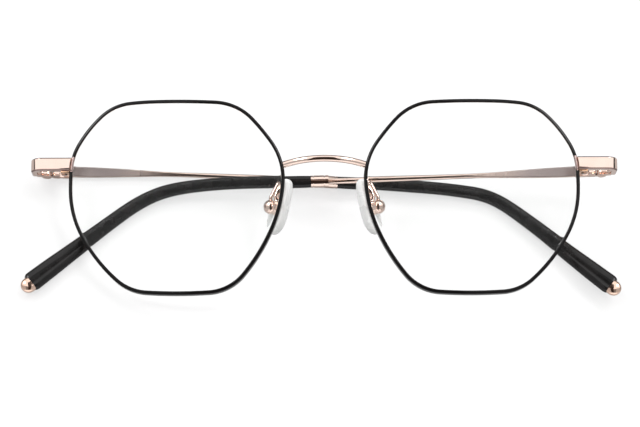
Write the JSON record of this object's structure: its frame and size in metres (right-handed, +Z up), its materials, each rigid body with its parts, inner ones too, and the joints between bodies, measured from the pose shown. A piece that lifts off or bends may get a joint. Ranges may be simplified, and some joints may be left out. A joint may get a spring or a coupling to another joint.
{
  "type": "eyeglasses",
  "caption": "Hexagonal wire eyeglasses, folded: clear lenses, black rims, curved bridge, rocking nose pads and hinged temples with black capped tips.",
  "frame": {"origin": "middle of the bounding box on the table the folded glasses lie on", "axes": "+X to the viewer's right and the long way of the glasses, +Y from the lower rims to the upper rims, +Z up from the table, out of the front of the lenses"},
  "size_m": [0.1346, 0.0443, 0.0193],
  "materials": {
    "black_lacquer": "gloss lacquer over metal, bare at the inner edge and beside the endpieces",
    "rose_gold": "polished plating, satin on the temples' inner faces",
    "clear_lens": "clear, polished",
    "clear_silicone": "translucent, soft",
    "black_tip": "gloss"
  },
  "bodies": {
    "front": {"bridge": "rose_gold", "rim_left": "black_lacquer", "rim_right": "black_lacquer", "lens_left": "clear_lens", "lens_right": "clear_lens", "endpiece_left": "rose_gold", "endpiece_right": "rose_gold", "closing_block_upper_left": "rose_gold", "closing_block_upper_right": "rose_gold", "closing_block_lower_left": "rose_gold", "closing_block_lower_right": "rose_gold", "closing_screw_left": "rose_gold", "closing_screw_right": "rose_gold", "front_hinge_left": "rose_gold", "front_hinge_right": "rose_gold", "hinge_screw_left": "rose_gold", "hinge_screw_right": "rose_gold", "pad_arm_left": "rose_gold", "pad_arm_right": "rose_gold", "pad_box_left": "rose_gold", "pad_box_right": "rose_gold", "pad_screw_left": "rose_gold", "pad_screw_right": "rose_gold"},
    "left_temple": {"temple_left": "rose_gold", "temple_hinge_left": "rose_gold", "collar_left": "rose_gold", "tip_core_left": "rose_gold", "tip_left": "black_tip", "end_cap_left": "rose_gold"},
    "left_pad": {"nose_pad_left": "clear_silicone", "pad_core_left": "clear_silicone"},
    "right_temple": {"temple_right": "rose_gold", "temple_hinge_right": "rose_gold", "collar_right": "rose_gold", "tip_core_right": "rose_gold", "tip_right": "black_tip", "end_cap_right": "rose_gold"},
    "right_pad": {"nose_pad_right": "clear_silicone", "pad_core_right": "clear_silicone"}
  },
  "joints": [
    {"name": "temple_left_fold", "type": "hinge", "parent": "front", "child": "left_temple", "pos_m": [-0.06271, 0.00918, 0.00283], "axis": [0.0292, 0.9933, 0.1118], "range_deg": [0, 90]},
    {"name": "temple_right_fold", "type": "hinge", "parent": "front", "child": "right_temple", "pos_m": [0.06316, 0.00918, 0.0103], "axis": [0.0422, -0.9933, -0.1075], "range_deg": [0, 92.9]},
    {"name": "pad_left_rock", "type": "hinge", "parent": "front", "child": "left_pad", "pos_m": [-0.01196, -0.00091, 0.00678], "axis": [-0.4364, 0.3313, -0.8366], "range_deg": [-6, 6]},
    {"name": "pad_right_rock", "type": "hinge", "parent": "front", "child": "right_pad", "pos_m": [0.0123, -0.00091, 0.00822], "axis": [-0.5322, -0.3313, 0.7791], "range_deg": [-6, 6]}
  ]
}
